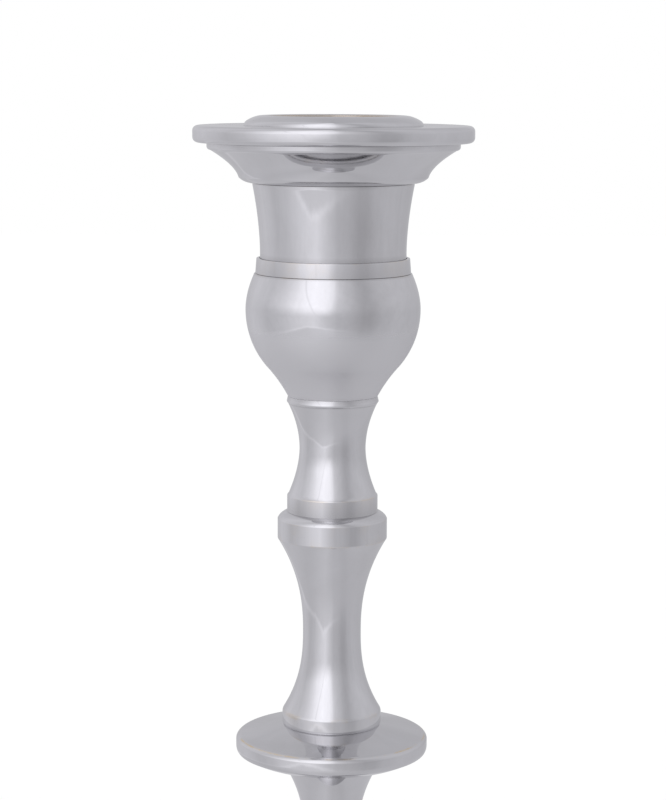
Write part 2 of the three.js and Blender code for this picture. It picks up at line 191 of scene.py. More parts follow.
def fitPiece(piece, node, body, finish):
    piece.data.materials.clear()
    piece.data.materials.append(finish)
    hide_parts(node)
    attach(piece, body)
    print("made", piece.name, len(piece.data.polygons), "faces")


# Small helpers for the finishes: a socket is given a value, or the output of another node
def feed(tree, node, settings):
    for socket, value in settings.items():
        if isinstance(value, bpy.types.NodeSocket):
            tree.links.new(value, node.inputs[socket])
        else:
            node.inputs[socket].default_value = value


def addNode(tree, kind, settings=None, **options):
    node = tree.nodes.new("ShaderNode" + kind)
    for option, value in options.items():
        setattr(node, option, value)
    feed(tree, node, settings or {})
    return node


def mathNode(tree, operation, *values):
    return addNode(tree, "Math", dict(enumerate(values)), operation=operation).outputs[0]


def scaled(tree, value, share):
    return mathNode(tree, "MULTIPLY", value, share)


def rangeNode(tree, value, fromLow, fromHigh, toLow, toHigh):
    limits = {"From Min": fromLow, "From Max": fromHigh, "To Min": toLow, "To Max": toHigh}
    return addNode(tree, "MapRange", {"Value": value, **limits}, clamp=True).outputs["Result"]


def easeNode(tree, value, low, high):
    settings = {"Value": value, "From Min": low, "From Max": high}
    return addNode(tree, "MapRange", settings, interpolation_type="SMOOTHSTEP").outputs["Result"]


def mixColour(tree, amount, first, second):
    settings = {0: amount}
    for slot, value in ((6, first), (7, second)):
        settings[slot] = (*value, 1) if isinstance(value, tuple) else value
    return addNode(tree, "Mix", settings, data_type="RGBA").outputs[2]


def noiseOn(tree, coords, scale, detail=3.0, rough=0.5, distortion=0.0):
    settings = {"Scale": scale, "Detail": detail, "Roughness": rough, "Distortion": distortion}
    return addNode(tree, "TexNoise", {"Vector": coords, **settings}).outputs[0]


def bumpNode(tree, height, strength, depth, under=None, **options):
    settings = {"Strength": strength, "Distance": depth, "Height": height}
    if under is not None:
        settings["Normal"] = under
    return addNode(tree, "Bump", settings, **options).outputs[0]


def startFinish(name):
    finish = bpy.data.materials.new(name)
    finish.use_nodes = True
    return finish, finish.node_tree, finish.node_tree.nodes["Principled BSDF"]


def objectCoords(tree):
    return addNode(tree, "TexCoord").outputs["Object"]


# Distance from the axis and height, so that a pattern on them runs round the piece like a tool mark
def ringCoords(tree, coords):
    parts = addNode(tree, "SeparateXYZ", {0: coords}).outputs
    across = addNode(tree, "CombineXYZ", {0: parts[0], 1: parts[1]}).outputs[0]
    length = addNode(tree, "VectorMath", {0: across}, operation="LENGTH").outputs["Value"]
    ring = addNode(tree, "CombineXYZ", {0: length, 2: parts[2]}).outputs[0]
    return ring, length, parts[2]


# Hairline scratches: thin slices through stretched noise, broken into short lengths
scratch = {"breakScale": 210.0, "breaks": (0.52, 0.64)}


def scratchNode(tree, coords, turn, scale, width):
    place = addNode(tree, "Mapping", {"Vector": coords, "Rotation": turn, "Scale": scale})
    slices = noiseOn(tree, place.outputs[0], 1.0, 1.0)
    offLine = mathNode(tree, "ABSOLUTE", mathNode(tree, "SUBTRACT", slices, 0.5))
    line = rangeNode(tree, offLine, 0.0, width, 1.0, 0.0)
    breaks = noiseOn(tree, coords, scratch["breakScale"], 2.0)
    breaks = rangeNode(tree, breaks, *scratch["breaks"], 0.0, 1.0)
    return mathNode(tree, "MULTIPLY", line, breaks)


nickelLook = {
    "colour": (0.650, 0.648, 0.664),
    "hazed": (0.598, 0.594, 0.604),
    "brass": (0.690, 0.520, 0.280),
    # Painted shade: the colour the seams between pieces are darkened towards, and how much of it is mixed
    # in
    "seamShade": (0.300, 0.290, 0.292),
    "seamShadeShare": 0.30,
    "roughness": (0.020, 0.065),
    "scratchRough": 0.10,       # what scratches, the seams and bare brass add to the roughness
    "seamRough": 0.14,
    "bareRough": 0.12,
    "hazeScale": 58.0,
    "haze": (0.36, 0.72),       # part of the noise that becomes haze, and so on below
    "wearScale": 240.0,
    "wearPatches": (0.46, 0.64),
    "stainScale": 130.0,
    "stain": (0.30, 0.70),
    "stainLeast": 0.55,
    "boreEdge": (0.02, 0.30),   # the stain in a bore fades out between these distances from its wall
    "scratches": (              # turn, stretch and width of each set
        ((0.5, 0.3, 0.9), (240, 3100, 240), 0.012),
        ((1.1, -0.6, 0.2), (2700, 200, 260), 0.010),
    ),
    "ringScale": 2600.0,        # tool marks about 0.4 mm apart
    "ringDepth": 2.8e-6,
    "scratchDepth": 1.5e-6,
    "dentScale": 85.0,          # soft waviness of hand polishing
    "dentDepth": 9.0e-6,
    "wear": 0.22,
}


def nickelFinish(name, **changes):
    look = {**nickelLook, **changes}
    finish, tree, shader = startFinish(name)
    coords = objectCoords(tree)
    ring, radius, height = ringCoords(tree, coords)
    marks = noiseOn(tree, ring, look["ringScale"], 4.0, 0.62)
    haze = noiseOn(tree, coords, look["hazeScale"], 5.0, 0.6, 0.5)
    haze = rangeNode(tree, haze, *look["haze"], 0.0, 1.0)
    scratches = mathNode(tree, "MAXIMUM", *[scratchNode(tree, coords, *each) for each in look["scratches"]])
    worn = addNode(tree, "Attribute", attribute_name="edgeWear").outputs["Fac"]
    seamShade = addNode(tree, "Attribute", attribute_name="paintedSeamShade").outputs["Fac"]
    patches = noiseOn(tree, coords, look["wearScale"], 4.0, 0.65)
    patches = rangeNode(tree, patches, *look["wearPatches"], 0.0, look["wear"])
    bare = mathNode(tree, "MULTIPLY", worn, patches)
    colour = mixColour(tree, haze, look["colour"], look["hazed"])
    colour = mixColour(tree, bare, colour, look["brass"])
    # Painted shade: the colour is darkened along the seams between pieces
    colour = mixColour(tree, scaled(tree, seamShade, look["seamShadeShare"]), colour, look["seamShade"])
    metal = 1.0
    if "boreRadius" in changes:
        wall, clear = ((look["boreRadius"] + edge) * mm for edge in look["boreEdge"])
        inBore = rangeNode(tree, radius, wall, clear, 1.0, 0.0)
        stain = noiseOn(tree, coords, look["stainScale"], 4.0)
        stain = rangeNode(tree, stain, *look["stain"], look["stainLeast"], 1.0)
        stain = mathNode(tree, "MULTIPLY", inBore, stain)
        colour = mixColour(tree, stain, colour, look["boreColour"])
        metal = rangeNode(tree, stain, 0.0, 1.0, 1.0, look["boreMetal"])
    dull = rangeNode(tree, haze, 0.0, 1.0, *look["roughness"])
    if "satinHeights" in changes:
        end, start = (level * mm for level in look["satinHeights"])
        satin = mathNode(tree, "SUBTRACT", 1.0, easeNode(tree, height, end, start))
        colour = mixColour(tree, satin, colour, look["satinColour"])
        dull = mathNode(tree, "ADD", dull, scaled(tree, satin, look["satin"]))
    for mark, rough in ((scratches, "scratchRough"), (seamShade, "seamRough"), (bare, "bareRough")):
        dull = mathNode(tree, "ADD", dull, scaled(tree, mark, look[rough]))
    normal = bumpNode(tree, marks, 0.5, look["ringDepth"])
    normal = bumpNode(tree, scratches, 0.5, look["scratchDepth"], normal, invert=True)
    dents = noiseOn(tree, coords, look["dentScale"], 1.0)
    normal = bumpNode(tree, dents, 1.0, look["dentDepth"], normal)
    feed(tree, shader, {"Base Color": colour, "Metallic": metal, "Roughness": dull, "Normal": normal})
    return finish


# Seats that several pieces share, from the solids
neckTop = highOf("socket_neck")
flangeTop = highOf("nozzle")
flangeRadius = reachOf("nozzle")
mouthRadius = reachOf("socket_neck")
cupBase = lowOf("candle_cup")
cupTop = highOf("candle_cup")
beadRadius = reachOf("candle_cup")
bandBase = lowOf("socket_band")
bandTop = highOf("socket_band")
bandRadius = reachOf("socket_band")
bulbBase = lowOf("socket_bulb")
bulbRadius = reachOf("socket_bulb")
middleTop = highOf("middle_spool")
panTop = highOf("drip_pan")
lowerTop = highOf("lower_spool")
knopTop = highOf("knop")
footTop = highOf("foot")
footBase = lowOf("foot")
rodHole = 1.7


# Candle cup: thin wall, flat floor and a rolled bead that rests on the flange
cup = {
    "wall": 12.35,          # outer radius of the drawn cup
    "bore": 11.85,
    "floor": 0.8,
    "cornerRound": 1.1,
    "beadRound": 1.3,
    "beadTurn": (8, 58),    # degrees over the level where the bead's edge starts and ends
    "beadPull": 1.94,
    "sink": 0.15,           # the bead's crown below the solid's top
    "seam": (0.25, 0.06),   # how far the line under the bead goes in, and below the flange's top
    "pullDrop": 0.05,
    "lipDrop": 0.416,       # from the crown down to the bore's straight wall
    "crown": 12.75,         # radius of the bead's highest ring
    "floorRound": 0.6,
    "wallHold": 1.0,
    "wallOver": 0.02,
    "boreHold": 2.0,
    "floorHold": 3.0,
    "boreColour": (0.46, 0.38, 0.29),
    "boreMetal": 0.35,
    "wear": 0.3,
}


def makeCandleCup():
    low, high = cup["beadTurn"]
    centreR = beadRadius - cup["beadRound"] * math.cos(math.radians(low))
    seamIn, seamDown = cup["seam"]
    centreZ = flangeTop - seamDown - cup["beadRound"] * math.sin(math.radians(low))
    edge = arcLine(centreR, centreZ, cup["beadRound"], low, high, 12)
    crownZ = cupTop - cup["sink"]
    crown = (cup["crown"], crownZ)
    crownPull = (beadRadius - cup["beadPull"], crownZ - cup["pullDrop"])
    lip = (cup["bore"], crownZ - cup["lipDrop"])
    floorTop = cupBase + cup["floor"]
    corner, inner = cup["cornerRound"], cup["floorRound"]
    outline = [
        (0, cupBase),
        (cup["wall"] - corner * 2, cupBase),
        *arcLine(cup["wall"] - corner, cupBase + corner, corner, -90, 0, 8),
        (cup["wall"], flangeTop - cup["wallHold"]),
        (cup["wall"], flangeTop + cup["wallOver"]),
        (edge[0][0] - seamIn, flangeTop - seamDown),
        *edge,
        *sweepLine(edge[-1], crownPull, crown, 18)[1:],
        *sweepLine(crown, (cup["bore"], crownZ), lip, 8)[1:],
        (cup["bore"], lip[1] - hold["near"]),
        (cup["bore"], floorTop + cup["boreHold"]),
        *arcLine(cup["bore"] - inner, floorTop + inner, inner, 0, -90, 6),
        (cup["bore"] - cup["floorHold"], floorTop),
        (0, floorTop),
    ]
    piece = turnPiece("candleCup", outline, seams=[(beadRadius, flangeTop, 0.12)])
    looks = {key: cup[key] for key in ("boreColour", "boreMetal", "wear")}
    finish = nickelFinish("nickelCup", boreRadius=cup["bore"], **looks)
    fitPiece(piece, "candle_cup", "lift_out", finish)


# Nozzle: a flange with a rounded rim, a fillet and a hollow underside, on the neck's mouth
nozzle = {
    "guide": 12.5,
    "rimThickness": 3.0,
    "rimRound": 0.95,
    "filletInset": 2.5,
    "filletHeight": 0.7,
    "filletRound": 0.6,
    "filletStart": -70,
    "guideHold": 0.6,
    "footFlare": 2.45,
    "footHeight": 1.0,
    "hollowPull": (0.115, 0.44),
    "lift": (0.03, 0.06),   # the foot's lower end stands out and up by this, for a dark line over the neck
    "line": (0.06, 0.03),   # and the line's inner end lies in and up by this
    "undercut": (0.1, 0.12),
    "ringDepth": 5.5e-6,
}


def makeNozzle():
    filletRadius = flangeRadius - nozzle["filletInset"]
    rimBase = flangeTop - nozzle["rimThickness"]
    fillet = nozzle["filletRound"]
    hollowTop = rimBase - nozzle["filletHeight"] - fillet
    start = (mouthRadius + nozzle["footFlare"], neckTop + nozzle["footHeight"])
    end = (filletRadius - fillet, hollowTop)
    footPull = (start[0] - nozzle["footHeight"], neckTop)
    rimCentre = flangeRadius - nozzle["rimRound"]
    liftR, liftZ = nozzle["lift"]
    footSteps = 14
    footLine = []
    for i, (r, z) in enumerate(sweepLine((mouthRadius, neckTop), footPull, start, footSteps)):
        share = 1 - i / footSteps
        footLine.append((r + liftR * share, z + liftZ * share))
    outline = [
        (nozzle["guide"], neckTop),
        (mouthRadius - hold["wide"], neckTop),
        (mouthRadius - nozzle["line"][0], neckTop + nozzle["line"][1]),
        *footLine,
        *sweepLine(start, partWay(start, end, nozzle["hollowPull"]), end, 30)[1:],
        *arcLine(end[0], hollowTop + fillet, fillet, nozzle["filletStart"], 0, 7),
        (filletRadius, rimBase - nozzle["undercut"][1]),
        (filletRadius - nozzle["undercut"][0], rimBase),
        (filletRadius + hold["close"], rimBase),
        *arcLine(rimCentre, rimBase + nozzle["rimRound"], nozzle["rimRound"], -90, 0, 12),
        *arcLine(rimCentre, flangeTop - nozzle["rimRound"], nozzle["rimRound"], 0, 90, 12),
        (beadRadius + hold["close"], flangeTop),
        (nozzle["guide"] + nozzle["guideHold"], flangeTop),
        (nozzle["guide"], flangeTop),
    ]
    seams = [(filletRadius, rimBase, 0.2), (mouthRadius, neckTop, 0.2), (beadRadius, flangeTop, 0.2)]
    piece = turnPiece("turnedNozzle", outline, seams)
    finish = nickelFinish("nickelNozzle", ringDepth=nozzle["ringDepth"])
    fitPiece(piece, "nozzle", "lift_out", finish)


# Socket neck: a tube that flares to its mouth
neck = {
    "guide": 12.5,
    "radius": 13.06,
    "straight": 1.0,
    "flarePower": 1.76,
    "mouthLip": 0.3,        # upright strip at the mouth
    "mouthEase": 0.06,
    "ease": 0.1,
    "boreColour": (0.40, 0.39, 0.39),
    "boreMetal": 0.4,
}


def makeSocketNeck():
    base = lowOf("socket_neck")
    waist = (neck["radius"], bandTop + neck["straight"])
    outline = [
        (neck["guide"], base, neck["ease"]),
        (neck["radius"], base, neck["ease"]),
        (neck["radius"], bandTop),
        *flareLine(waist, (mouthRadius, neckTop - neck["mouthLip"]), neck["flarePower"], 26),
        (mouthRadius, neckTop, neck["mouthEase"]),
        (neck["guide"], neckTop, neck["ease"]),
    ]
    seams = [(neck["radius"], bandTop, 0.25), (mouthRadius, neckTop, 0.12)]
    piece = turnPiece("socketNeck", outline, seams)
    looks = {"boreRadius": neck["guide"], "boreColour": neck["boreColour"], "boreMetal": neck["boreMetal"]}
    fitPiece(piece, "socket_neck", "stand", nickelFinish("nickelNeck", **looks))


# Socket band: a narrow ring where neck and bulb meet
band = {
    "bore": 13.16,
    "taper": 0.2,
    "ease": 0.12,
    "lap": 0.45,            # the band reaches this far down over the bulb's rim
}


def makeSocketBand():
    lapZ = bandBase - band["lap"]
    outline = [
        (band["bore"], lapZ),
        (bandRadius, lapZ, band["ease"]),
        (bandRadius - band["taper"], bandTop, band["ease"]),
        (band["bore"], bandTop),
    ]
    seams = [(bandRadius, lapZ, 0.2), (neck["radius"], bandTop, 0.3)]
    piece = turnPiece("socketBand", outline, seams)
    fitPiece(piece, "socket_band", "stand", nickelSocket)


# Socket bulb: hollow, with a full belly and a foot drawn in
bulb = {
    "shoulder": 6.95,       # from the rim down to the belly
    "shoulderDrop": 1.58,
    "curve": 15.6,
    "curveEnd": 40.3,
    "footRadius": 8.1,
    "footPull": (0.44, 0.57),
    "wall": 0.9,
    "floor": 3.2,
    "tenon": 3.0,
    "rimEase": 0.08,
    "hollowGap": 0.1,
    "satinDrop": (2.0, 4.6),        # the polish grows duller between these depths below the belly
    "satin": 0.40,
    "satinColour": (0.695, 0.692, 0.706),
}


def makeSocketBulb():
    rimZ = bandBase - band["lap"]
    bellyZ = bandBase - bulb["shoulder"]
    curve = arcLine(bulbRadius - bulb["curve"], bellyZ, bulb["curve"], -bulb["curveEnd"], 0, 26)
    base = (bulb["footRadius"], bulbBase)
    rim = (bulbRadius - bulb["shoulderDrop"], rimZ)
    shoulderPull = (bulbRadius, rimZ - bulb["shoulder"] / 2)
    shoulder = sweepLine((bulbRadius, bellyZ), shoulderPull, rim, 18)
    skirt = sweepLine(base, partWay(base, curve[0], bulb["footPull"]), curve[0], 22)
    outside = [*skirt, *curve[1:], *shoulder[1:]]
    inside = insetLine(outside, bulb["wall"])
    floorTop = bulbBase + bulb["floor"]
    tenonEnd = bandBase - bulb["tenon"]
    gap = bulb["hollowGap"]
    hollow = [point for point in inside if floorTop + gap < point[1] < tenonEnd - gap]
    outline = [
        (rodHole, bulbBase),
        (base[0] - hold["near"], bulbBase),
        *outside[:-1],
        (*rim, bulb["rimEase"]),
        (band["bore"], rimZ),
        (band["bore"], tenonEnd),
        *hollow[::-1],
        (radiusAt(inside, floorTop), floorTop),
        (rodHole, floorTop),
    ]
    seams = [(*base, 0.25), (*rim, 0.22)]
    piece = turnPiece("socketBulb", outline, seams)
    start, end = (bellyZ - drop for drop in bulb["satinDrop"])
    looks = {"satinHeights": (end, start), "satin": bulb["satin"], "satinColour": bulb["satinColour"]}
    finish = nickelFinish("nickelBulb", **looks)
    fitPiece(piece, "socket_bulb", "stand", finish)


# Upper spool: a bead on top, a waist and a small collar
upper = {
    "beadRadius": 8.25,
    "beadHeight": 1.3,
    "beadRound": 0.36,
    "beadTurn": (-52, 12),
    "beadFootIn": 0.6,      # the bead's foot lies in by this share of its rounding
    "beadSlope": 0.19,
    "topGap": 0.06,         # dark line under the bulb
    "topGroove": 0.09,
    "waistRadius": 5.95,
    "waistDrop": 9.6,
    "flareAbove": 1.95,
    "flareBelow": 1.8,
    "collarRadius": 8.17,
    "collarHeight": 2.25,
    "collarEase": 0.12,
    "flareStop": (0.15, 0.02),      # the flare ends this far in from the collar's edge and over it
    "seatGap": 0.03,
}


def makeUpperSpool():
    beadRound = upper["beadRound"]
    beadCentre = upper["beadRadius"] - beadRound
    beadFoot = (upper["beadRadius"] - beadRound * upper["beadFootIn"], bulbBase - upper["beadHeight"])
    waist = (upper["waistRadius"], bulbBase - upper["waistDrop"])
    collarTop = middleTop + upper["collarHeight"]
    collar = upper["collarRadius"]
    bead = [
        *arcLine(beadCentre, beadFoot[1] + beadRound, beadRound, *upper["beadTurn"], 10),
        (upper["beadRadius"] - upper["beadSlope"], bulbBase - upper["topGap"]),
    ]
    seat = middleTop - middle["seatDepth"] - upper["seatGap"]
    flareEnd = (collar - upper["flareStop"][0], collarTop + upper["flareStop"][1])
    outline = [
        (rodHole, seat),
        (collar - hold["tight"], seat),
        (collar, seat),
        (collar, collarTop, upper["collarEase"]),
        *flareLine(waist, flareEnd, upper["flareBelow"], 26)[-2::-1],
        *flareLine(waist, beadFoot, upper["flareAbove"], 26)[1:],
        *bead,
        (bulb["footRadius"] - upper["topGroove"], bulbBase),
        (bulb["footRadius"] - hold["near"], bulbBase),
        (rodHole, bulbBase),
    ]
    seams = [(bulb["footRadius"], bulbBase, 0.15), (collar, seat, 0.15), (*beadFoot, 0.12)]
    piece = turnPiece("upperSpool", outline, seams)
    fitPiece(piece, "upper_spool", "stand", nickelStem)


# Middle spool: a wide collar, a long waist and an upright band that stands on the pan
middle = {
    "collarRadius": 9.89,
    "collarHeight": 5.6,
    "collarShoulder": 2.05,
    "shoulderPull": (0.36, 0.85),   # in from the collar's edge and up, for the bow of the shoulder
    "waistRadius": 5.26,
    "waistDrop": 22.85,
    "flareAbove": 2.3,
    "flareBelow": 2.48,
    "flareEnd": (8.52, 3.15),       # radius and height over the pan where the flare becomes a cone
    "bandRadius": 9.02,
    "bandHeight": 2.38,
    "bandLean": 0.04,
    "bandEase": 0.34,
    "bandRound": 0.6,
    "rollShare": 0.55,              # height of the lower edge's rounding, as a share of it
    "rollStart": -50,
    "rollSink": (0.1, 0.14),        # the rounding's lower end dips this far into the pan
    "flareIn": 0.05,
    "shoulderEase": 0.05,
    "edgeEase": 0.14,
    "seatDepth": 0.68,      # the spool above sits this deep in the collar
}


def makeMiddleSpool():
    waist = (middle["waistRadius"], middleTop - middle["waistDrop"])
    bandEdge, power = middle["bandRadius"], middle["flareBelow"]
    flareEnd = (middle["flareEnd"][0], panTop + middle["flareEnd"][1])
    collar = middle["collarRadius"]
    collarBase = middleTop - middle["collarHeight"]
    underCollar = (collar - middle["flareIn"], collarBase - middle["flareIn"])
    seat = bandEdge - middle["bandRound"]
    lip = middleTop - middle["seatDepth"]
    shoulderBase = middleTop - middle["collarShoulder"]
    pull = (collar - middle["shoulderPull"][0], shoulderBase + middle["shoulderPull"][1])
    shoulder = sweepLine((collar, shoulderBase), pull, (upper["collarRadius"], lip), 20)
    rollZ = panTop + middle["bandRound"] * middle["rollShare"]
    sinkIn, sinkDown = middle["rollSink"]
    outline = [
        (rodHole, panTop),
        (seat - hold["wide"], panTop),
        (seat - sinkIn, panTop - sinkDown),
        *arcLine(seat, rollZ, middle["bandRound"], middle["rollStart"], 0, 10),
        (bandEdge - middle["bandLean"], panTop + middle["bandHeight"], middle["bandEase"]),
        *flareLine(waist, flareEnd, power, 40)[::-1],
        *flareLine(waist, underCollar, middle["flareAbove"], 40)[1:-1],
        (collar, collarBase, middle["edgeEase"]),
        (collar, shoulderBase, middle["shoulderEase"]),
        *shoulder[1:],
        (upper["collarRadius"] - hold["close"], lip),
        (rodHole, lip),
    ]
    seams = [(upper["collarRadius"], lip, 0.2), (seat, panTop, 0.2)]
    piece = turnPiece("middleSpool", outline, seams)
    fitPiece(piece, "middle_spool", "stand", nickelStem)


# Drip pan: a low cone with a rounded rim
pan = {
    "topPull": (0.5, 0.58),
    "inset": 0.08,
    "round": 1.48,
    "roundFlat": 0.70,      # height of the upper edge's rounding for its width
    "roundEnd": 79,
    "rimHeight": 2.28,
    "edgeRound": 0.55,
    "edgeFlat": 2.1,
    "edgeStart": -70,
    "underside": 2.11,
    "wornAt": 48,           # degrees round the upper edge where the plate is thin
    "wear": 0.75,
}


def makeDripPan():
    radius = reachOf("drip_pan") - pan["inset"]
    rimBase = lowerTop + pan["underside"]
    edgeCentre = radius - pan["edgeRound"]
    edgeZ = rimBase + pan["edgeRound"] * pan["edgeFlat"]
    seat = (middle["bandRadius"] - middle["bandRound"], panTop)
    rimCentre = (radius - pan["round"], rimBase + pan["rimHeight"], pan["round"])
    rim = arcLine(*rimCentre, 0, pan["roundEnd"], 18, pan["roundFlat"])
    thin = arcLine(*rimCentre, pan["wornAt"], pan["wornAt"], 1, pan["roundFlat"])[0]
    joint = lower["topRadius"]
    underPull = ((joint + edgeCentre) / 2, lowerTop)
    outline = [
        (rodHole, lowerTop),
        (joint - hold["near"], lowerTop),
        *sweepLine((joint, lowerTop), underPull, (edgeCentre, rimBase), 20),
        *arcLine(edgeCentre, edgeZ, pan["edgeRound"], pan["edgeStart"], 0, 10, pan["edgeFlat"]),
        *rim,
        *sweepLine(rim[-1], partWay(seat, rim[-1], pan["topPull"]), seat, 30)[1:],
        (seat[0] - hold["wide"], panTop),
        (rodHole, panTop),
    ]
    seams = [(*seat, 0.3), (joint, lowerTop, 0.3)]
    piece = turnPiece("dripPan", outline, seams, worn=[(*thin, 0.16)])
    fitPiece(piece, "drip_pan", "stand", nickelFinish("nickelPan", wear=pan["wear"]))


# Lower spool: a plain flare under the pan, a waist and a collar
lower = {
    "topRadius": 9.0,
    "waistRadius": 5.04,
    "waistDrop": 13.75,
    "flareAbove": 2.2,
    "flareBelow": 2.0,
    "collarRadius": 7.7,
    "collarHeight": 2.2,
    "flareIn": 0.1,         # the lower flare ends this far inside the collar
    "flareUp": 0.04,        # the upper flare reaches this far into the pan
    "ease": 0.14,
}


def makeLowerSpool():
    waist = (lower["waistRadius"], lowerTop - lower["waistDrop"])
    collarTop = knopTop + lower["collarHeight"]
    collar, top, ease = lower["collarRadius"], lower["topRadius"], lower["ease"]
    outline = [
        (rodHole, knopTop),
        (collar, knopTop, ease),
        (collar, collarTop, ease),
        *flareLine(waist, (collar - lower["flareIn"], collarTop), lower["flareBelow"], 30)[-2::-1],
        *flareLine(waist, (top, lowerTop + lower["flareUp"]), lower["flareAbove"], 40)[1:],
        (top - hold["wide"], lowerTop),
        (rodHole, lowerTop),
    ]
    seams = [(top, lowerTop, 0.3), (collar, knopTop, 0.3)]
    piece = turnPiece("lowerSpool", outline, seams)
    fitPiece(piece, "lower_spool", "stand", nickelStem)


# Knop: a round knob with a band on top
knob = {
    "bandRadius": 9.4,
    "bandHeight": 1.8,
    "bellyDrop": 8.8,
    "curve": 11.0,
    "curveEnd": 46,
    "footRadius": 7.4,
    "footPull": (0.3, 0.62),
    "ease": 0.2,
}


def makeKnop():
    radius = reachOf("knop")
    belly = (radius, knopTop - knob["bellyDrop"])
    bandFoot = knopTop - knob["bandHeight"]
    curve = arcLine(radius - knob["curve"], belly[1], knob["curve"], -knob["curveEnd"], 0, 24)
    base = (knob["footRadius"], footTop)
    outline = [
        (rodHole, footTop),
        (base[0] - hold["near"], footTop),
        *sweepLine(base, partWay(base, curve[0], knob["footPull"]), curve[0], 18),
        *curve[1:],
        *sweepLine(belly, (radius, bandFoot), (knob["bandRadius"], bandFoot), 24)[1:],
        (knob["bandRadius"], knopTop, knob["ease"]),
        (rodHole, knopTop),
    ]
    seams = [
        (base[0], footTop, 0.4),
        (knob["bandRadius"], bandFoot, 0.3),
        (lower["collarRadius"], knopTop, 0.4),
    ]
    piece = turnPiece("turnedKnop", outline, seams)
    fitPiece(piece, "knop", "stand", nickelStem)


# Foot: rim, step, a curve up to a bead, and a trumpet with a collar; hollow below the collar
foot = {
    "rimHeight": 4.4,
    "rimRound": 1.6,
    "step": 4.2,
    "stepHeight": 1.2,
    "curveHeight": 12.6,
    "beadRadius": 21.0,
    "beadHeight": 4.0,
    "beadTurn": (-70, 90),
    "trumpetBase": 18.4,
    "trumpetNeck": 7.2,
    "trumpetPower": 2.4,
    "collarRadius": 9.6,
    "collarHeight": 4.4,
    "collarShoulder": 1.4,
    "wall": 2.0,
    "crown": 6.0,
    "feltGap": 0.2,
    "holeEase": 0.15,
    "ease": 0.2,
}


def makeFoot():
    radius = reachOf("foot")
    feltTop = highOf("felt_pad")
    feltHole = reachOf("felt_pad") + foot["feltGap"]
    rimTop = footBase + foot["rimHeight"]
    stepRadius = radius - foot["step"]
    curveBase = rimTop + foot["stepHeight"]
    curveTop = curveBase + foot["curveHeight"]
    beadTop = curveTop + foot["beadHeight"]
    collarBase = footTop - foot["collarHeight"]
    collar, ease = foot["collarRadius"], foot["ease"]
    rimCentre = radius - foot["rimRound"]
    beadRound = foot["beadHeight"] / 2
    beadFoot = foot["beadRadius"]
    curve = sweepLine((stepRadius, curveBase), (beadFoot, curveBase), (beadFoot, curveTop), 34)
    bead = arcLine(beadFoot - beadRound / 2, curveTop + beadRound, beadRound, *foot["beadTurn"], 20)
    neckEnd = (foot["trumpetNeck"], collarBase)
    trumpet = flareLine(neckEnd, (foot["trumpetBase"], beadTop), foot["trumpetPower"], 44)[::-1]
    ceiling = footTop - foot["crown"]
    hollowRadius = stepRadius - foot["wall"]
    inside = insetLine([*curve, *trumpet], foot["wall"])
    hollow = [point for point in inside if point[0] < hollowRadius and point[1] < ceiling]
    outline = [
        (feltHole, footBase, foot["holeEase"]),
        (radius, footBase, foot["rimRound"] / 2),
        *arcLine(rimCentre, rimTop - foot["rimRound"], foot["rimRound"], 0, 90, 12),
        (stepRadius + hold["close"], rimTop),
        (stepRadius, rimTop),
        (stepRadius, curveBase, ease),
        *curve[1:],
        *bead,
        *trumpet[:-1],
        neckEnd,
        (collar, collarBase, ease),
        (collar, footTop - foot["collarShoulder"], ease),
        (collar - foot["collarShoulder"], footTop),
        (rodHole, footTop),
        (rodHole, ceiling),
        (radiusAt(inside, ceiling), ceiling),
        *hollow[::-1],
        (hollowRadius, hollow[0][1]),
        (hollowRadius, feltTop),
        (feltHole, feltTop),
    ]
    seams = [
        (stepRadius, rimTop, 0.4),
        (*bead[0], 0.35),
        (*trumpet[0], 0.4),
        (*neckEnd, 0.35),
        (collar - foot["collarShoulder"], footTop, 0.4),
    ]
    piece = turnPiece("turnedFoot", outline, seams)
    fitPiece(piece, "foot", "stand", nickelFinish("nickelFoot"))


# Felt under the foot
felt = {
    "edgeRound": 0.3,
    "rings": 12,
    "colour": (0.016, 0.040, 0.027),
    "paleFibre": (0.052, 0.094, 0.064),
    "tuftScale": 1500.0,
    "tufts": (0.42, 0.72),      # part of the noise that becomes pale tufts
    "tuftShare": 0.8,
    "wornScale": 60.0,
    "wornPatches": (0.4, 0.75),
    "wornShare": 0.35,
    "nap": 0.8,
    "napDepth": 1.2e-4,
    "roughFrom": (0.3, 0.7),    # this part of the noise gives the range of roughness
    "roughness": (0.86, 1.0),
    "sheen": 0.35,
}


def feltFinish():
    finish, tree, shader = startFinish("greenFelt")
    coords = objectCoords(tree)
    tufts = noiseOn(tree, coords, felt["tuftScale"], 6.0, 0.7, 1.6)
    patches = noiseOn(tree, coords, felt["wornScale"], 4.0)
    worn = rangeNode(tree, patches, *felt["wornPatches"], 0.0, felt["wornShare"])
    fibres = rangeNode(tree, tufts, *felt["tufts"], 0.0, felt["tuftShare"])
    pale = mathNode(tree, "ADD", fibres, worn)
    feed(tree, shader, {
        "Base Color": mixColour(tree, pale, felt["colour"], felt["paleFibre"]),
        "Normal": bumpNode(tree, tufts, felt["nap"], felt["napDepth"]),
        "Roughness": rangeNode(tree, tufts, *felt["roughFrom"], *felt["roughness"]),
        "Sheen Weight": felt["sheen"],
    })
    return finish


def makeFeltPad():
    radius, top = reachOf("felt_pad"), highOf("felt_pad")
    outline = [
        (0, 0),
        *[(radius * i / felt["rings"], 0) for i in range(1, felt["rings"])],
        (radius, 0, felt["edgeRound"]),
        (radius, top, felt["edgeRound"]),
        (0, top),
    ]
    piece = turnPiece("feltPad", outline)
    fitPiece(piece, "felt_pad", "stand", feltFinish())


